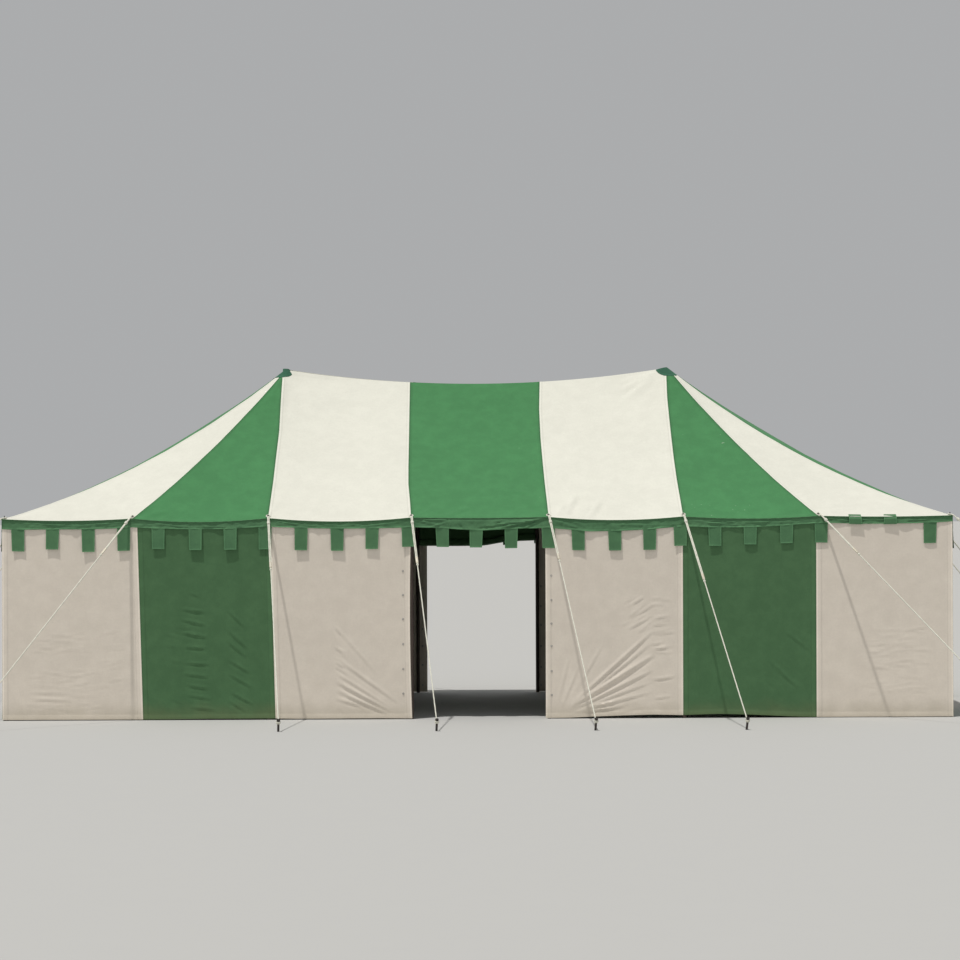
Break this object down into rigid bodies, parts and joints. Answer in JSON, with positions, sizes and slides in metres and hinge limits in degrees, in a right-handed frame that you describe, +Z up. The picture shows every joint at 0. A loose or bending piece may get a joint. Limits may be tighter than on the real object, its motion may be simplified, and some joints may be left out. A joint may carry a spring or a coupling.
{
  "type": "striped two-pole marquee tent",
  "caption": "Long canvas marquee with a hipped, sagging striped roof, tabbed valance, open doorways, side walls, inner poles and pegged guy lines.",
  "frame": {"origin": "on the ground, at the middle of the tent's plan", "axes": "+X along the long front, to the right for someone who faces it; -Y out of the front doorway; +Z up"},
  "size_m": [13.6446, 7.1462, 3.5746],
  "materials": {
    "green_cloth": "matt woven canvas",
    "white_cloth": "matt woven canvas",
    "cap_cloth": "matt doubled canvas",
    "pole_wood": "sanded, lightly oiled",
    "guy_rope": "laid rope",
    "pin_steel": "dull"
  },
  "bodies": {
    "root": {"front_guy_lines": "guy_rope", "front_left_side_poles": "pole_wood", "front_right_side_poles": "pole_wood", "front_valance": "green_cloth", "front_wall_cloth_1": "white_cloth", "front_wall_cloth_2": "green_cloth", "front_wall_cloth_3": "white_cloth", "front_wall_cloth_5": "white_cloth", "front_wall_cloth_6": "green_cloth", "front_wall_cloth_7": "white_cloth", "left_guy_lines": "guy_rope", "left_king_pole": "pole_wood", "left_peak_cap": "cap_cloth", "left_side_poles": "pole_wood", "left_valance": "green_cloth", "left_wall_cloth_1": "green_cloth", "left_wall_cloth_2": "white_cloth", "left_wall_cloth_3": "green_cloth", "rear_door_cloth_rolled": "green_cloth", "rear_guy_lines": "guy_rope", "rear_left_side_poles": "pole_wood", "rear_right_side_poles": "pole_wood", "rear_valance": "green_cloth", "rear_wall_cloth_1": "white_cloth", "rear_wall_cloth_2": "green_cloth", "rear_wall_cloth_3": "white_cloth", "rear_wall_cloth_5": "white_cloth", "rear_wall_cloth_6": "green_cloth", "rear_wall_cloth_7": "white_cloth", "right_guy_lines": "guy_rope", "right_king_pole": "pole_wood", "right_peak_cap": "cap_cloth", "right_side_poles": "pole_wood", "right_valance": "green_cloth", "right_wall_cloth_1": "green_cloth", "right_wall_cloth_2": "white_cloth", "right_wall_cloth_3": "green_cloth", "roof_front_cloth_1": "white_cloth", "roof_front_cloth_2": "green_cloth", "roof_front_cloth_3": "white_cloth", "roof_front_cloth_4": "green_cloth", "roof_front_cloth_5": "white_cloth", "roof_front_cloth_6": "green_cloth", "roof_front_cloth_7": "white_cloth", "roof_left_cloth_1": "green_cloth", "roof_left_cloth_2": "white_cloth", "roof_left_cloth_3": "green_cloth", "roof_rear_cloth_1": "white_cloth", "roof_rear_cloth_2": "green_cloth", "roof_rear_cloth_3": "white_cloth", "roof_rear_cloth_4": "green_cloth", "roof_rear_cloth_5": "white_cloth", "roof_rear_cloth_6": "green_cloth", "roof_rear_cloth_7": "white_cloth", "roof_right_cloth_1": "green_cloth", "roof_right_cloth_2": "white_cloth", "roof_right_cloth_3": "green_cloth"}
  },
  "joints": []
}
